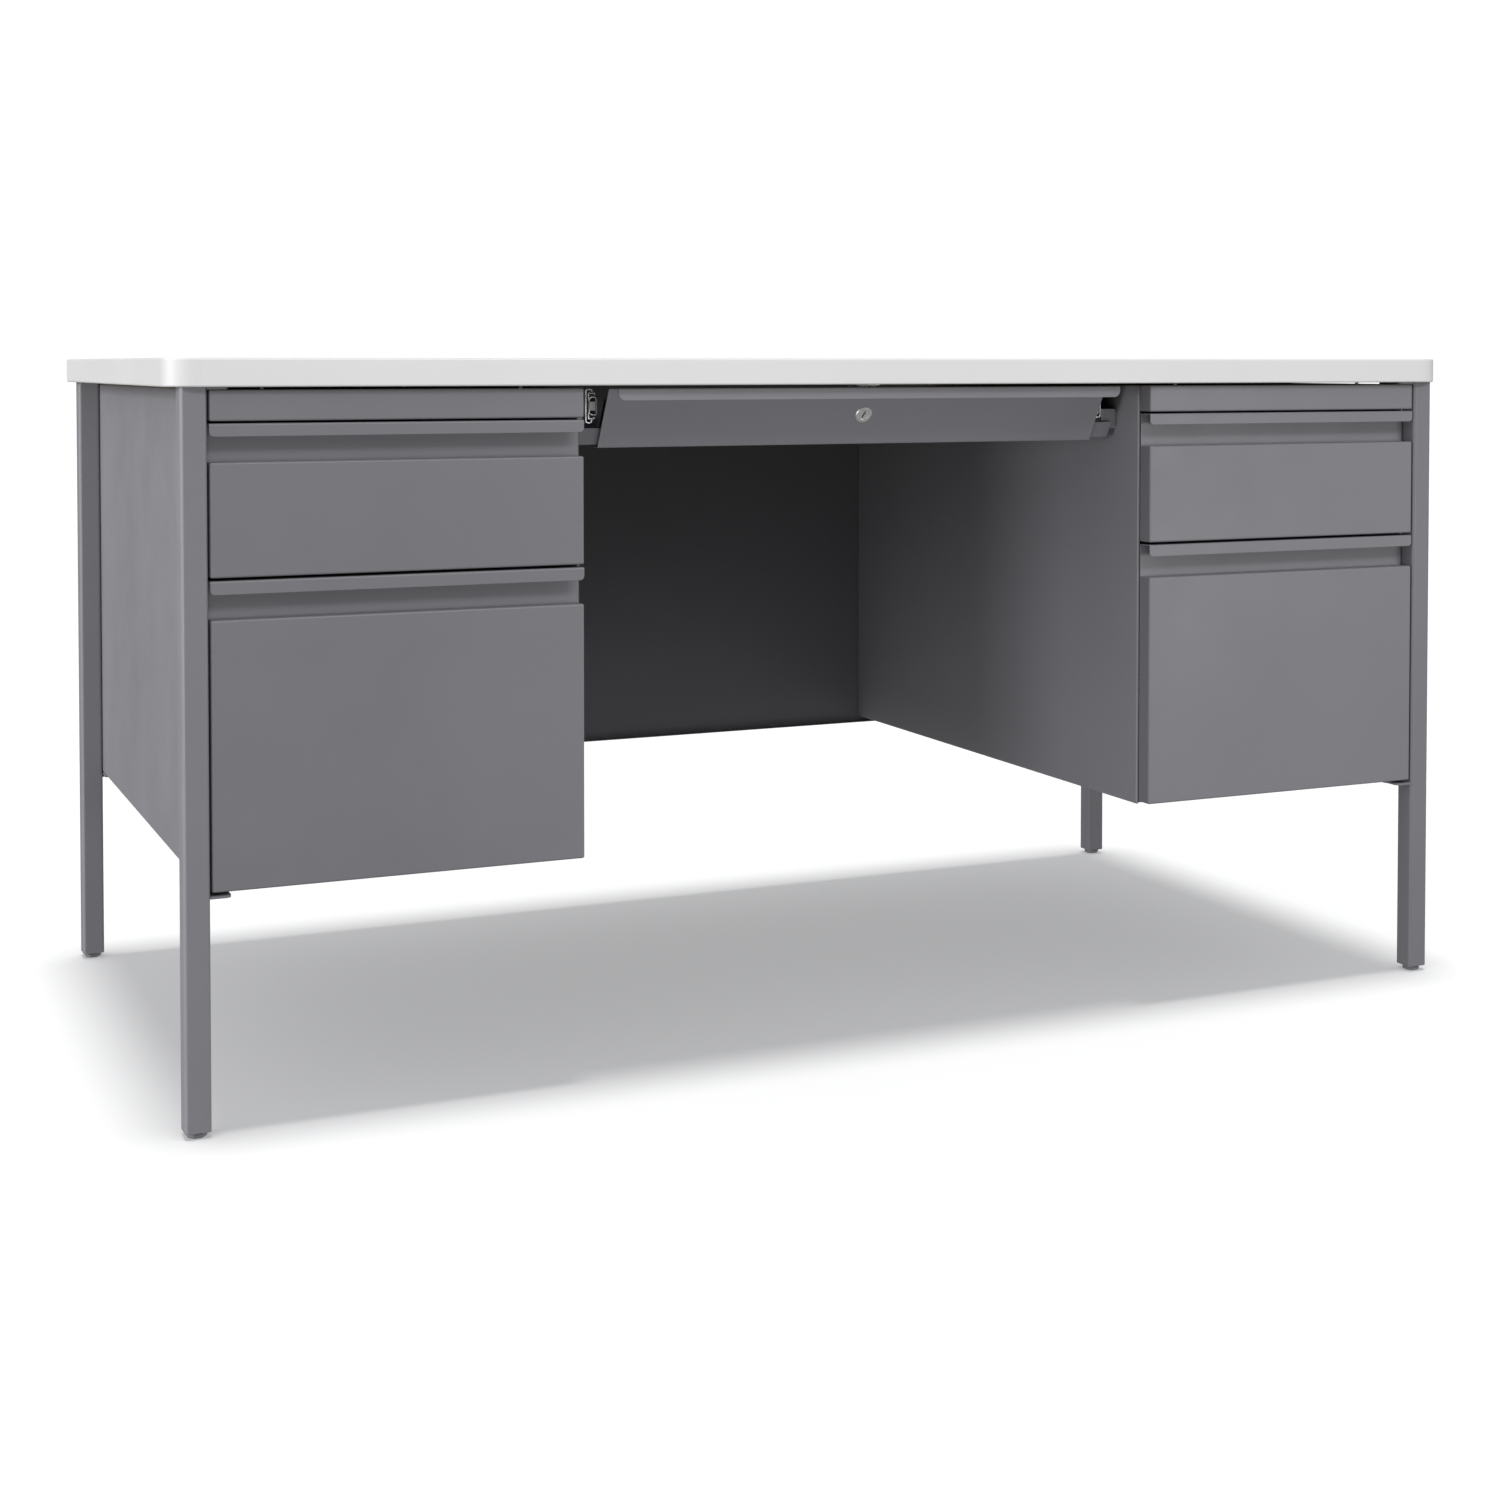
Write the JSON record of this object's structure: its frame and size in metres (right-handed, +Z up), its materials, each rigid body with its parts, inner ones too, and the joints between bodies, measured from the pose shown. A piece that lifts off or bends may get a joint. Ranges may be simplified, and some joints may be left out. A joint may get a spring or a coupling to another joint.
{
  "type": "teacher desk",
  "caption": "Steel teacher desk with a white laminate top, square legs, two drawer pedestals with recessed pulls, and a lockable raked centre drawer over the knee space.",
  "frame": {"origin": "centre of the desk's footprint, on the floor", "axes": "+Z up, +X to the right of a person seated at the desk, -Y towards that person"},
  "size_m": [1.524, 0.762, 0.748],
  "materials": {
    "paint": "satin grey powder coat",
    "interior_paint": "satin charcoal drawer paint",
    "laminate": "white high-pressure laminate, fine texture",
    "edge": "white moulded edge band, semi-gloss",
    "core": "raw particle board",
    "zinc": "bright zinc-plated steel",
    "nickel": "nickel-plated lock",
    "insert": "black moulded plug"
  },
  "bodies": {
    "desk_frame": {"desktop_core": "core", "desktop_laminate": "laminate", "desktop_edge_band": "edge", "desktop_screws": "zinc", "leg_inserts": "insert", "leg_tabs": "paint", "tab_screws": "zinc", "back_panel": "paint", "back_panel_screws": "zinc", "centre_slide_brackets": "paint", "lock_strike": "zinc", "centre_slide_outers": "zinc", "leg_front_left": "paint", "leg_rear_left": "paint", "left_end_panel": "paint", "left_inner_panel": "paint", "left_bottom_pan": "paint", "left_filler_rail": "paint", "left_top_rails": "paint", "left_box_slide_outers": "zinc", "left_file_slide_outers": "zinc", "leg_front_right": "paint", "leg_rear_right": "paint", "right_end_panel": "paint", "right_inner_panel": "paint", "right_bottom_pan": "paint", "right_filler_rail": "paint", "right_top_rails": "paint", "right_box_slide_outers": "zinc", "right_file_slide_outers": "zinc"},
    "left_box_drawer": {"left_box_front": "paint", "left_box_tub": "interior_paint", "left_box_slide_inners": "zinc"},
    "left_box_slides": {"left_box_slide_middles": "zinc"},
    "left_file_drawer": {"left_file_front": "paint", "left_file_tub": "interior_paint", "left_file_slide_inners": "zinc"},
    "left_file_slides": {"left_file_slide_middles": "zinc"},
    "right_box_drawer": {"right_box_front": "paint", "right_box_tub": "interior_paint", "right_box_slide_inners": "zinc"},
    "right_box_slides": {"right_box_slide_middles": "zinc"},
    "right_file_drawer": {"right_file_front": "paint", "right_file_tub": "interior_paint", "right_file_slide_inners": "zinc"},
    "right_file_slides": {"right_file_slide_middles": "zinc"},
    "centre_drawer": {"centre_front": "paint", "centre_backing": "paint", "centre_tray": "interior_paint", "centre_slide_inners": "zinc", "lock_housing": "nickel", "lock_nut": "zinc"},
    "centre_slides": {"centre_slide_middles": "zinc"},
    "lock": {"lock_plug": "nickel", "lock_cam": "zinc", "lock_cam_screw": "zinc"},
    "glide_front_left": {"glide_front_left": "paint"},
    "glide_front_right": {"glide_front_right": "paint"},
    "glide_rear_left": {"glide_rear_left": "paint"},
    "glide_rear_right": {"glide_rear_right": "paint"}
  },
  "joints": [
    {"name": "left_box_drawer_slide", "type": "slide", "parent": "desk_frame", "child": "left_box_drawer", "axis": [0, -1, 0], "range_m": [0, 0.46]},
    {"name": "left_box_middle_slide", "type": "slide", "parent": "desk_frame", "child": "left_box_slides", "axis": [0, -1, 0], "range_m": [0, 0.23]},
    {"name": "left_file_drawer_slide", "type": "slide", "parent": "desk_frame", "child": "left_file_drawer", "axis": [0, -1, 0], "range_m": [0, 0.6]},
    {"name": "left_file_middle_slide", "type": "slide", "parent": "desk_frame", "child": "left_file_slides", "axis": [0, -1, 0], "range_m": [0, 0.3]},
    {"name": "right_box_drawer_slide", "type": "slide", "parent": "desk_frame", "child": "right_box_drawer", "axis": [0, -1, 0], "range_m": [0, 0.46]},
    {"name": "right_box_middle_slide", "type": "slide", "parent": "desk_frame", "child": "right_box_slides", "axis": [0, -1, 0], "range_m": [0, 0.23]},
    {"name": "right_file_drawer_slide", "type": "slide", "parent": "desk_frame", "child": "right_file_drawer", "axis": [0, -1, 0], "range_m": [0, 0.6]},
    {"name": "right_file_middle_slide", "type": "slide", "parent": "desk_frame", "child": "right_file_slides", "axis": [0, -1, 0], "range_m": [0, 0.3]},
    {"name": "centre_drawer_slide", "type": "slide", "parent": "desk_frame", "child": "centre_drawer", "axis": [0, -1, 0], "range_m": [0, 0.32]},
    {"name": "centre_middle_slide", "type": "slide", "parent": "desk_frame", "child": "centre_slides", "axis": [0, -1, 0], "range_m": [0, 0.16]},
    {"name": "lock_turn", "type": "hinge", "parent": "centre_drawer", "child": "lock", "pos_m": [0, -0.32229, 0.687], "axis": [0, -0.8678, -0.497], "range_deg": [0, 90]},
    {"name": "glide_front_left_height", "type": "slide", "parent": "desk_frame", "child": "glide_front_left", "axis": [0, 0, -1], "range_m": [0, 0.012]},
    {"name": "glide_front_right_height", "type": "slide", "parent": "desk_frame", "child": "glide_front_right", "axis": [0, 0, -1], "range_m": [0, 0.012]},
    {"name": "glide_rear_left_height", "type": "slide", "parent": "desk_frame", "child": "glide_rear_left", "axis": [0, 0, -1], "range_m": [0, 0.012]},
    {"name": "glide_rear_right_height", "type": "slide", "parent": "desk_frame", "child": "glide_rear_right", "axis": [0, 0, -1], "range_m": [0, 0.012]}
  ],
  "couplings": [
    {"joint": "left_box_middle_slide", "follows": "left_box_drawer_slide", "ratio": 0.5},
    {"joint": "left_file_middle_slide", "follows": "left_file_drawer_slide", "ratio": 0.5},
    {"joint": "right_box_middle_slide", "follows": "right_box_drawer_slide", "ratio": 0.5},
    {"joint": "right_file_middle_slide", "follows": "right_file_drawer_slide", "ratio": 0.5},
    {"joint": "centre_middle_slide", "follows": "centre_drawer_slide", "ratio": 0.5}
  ]
}
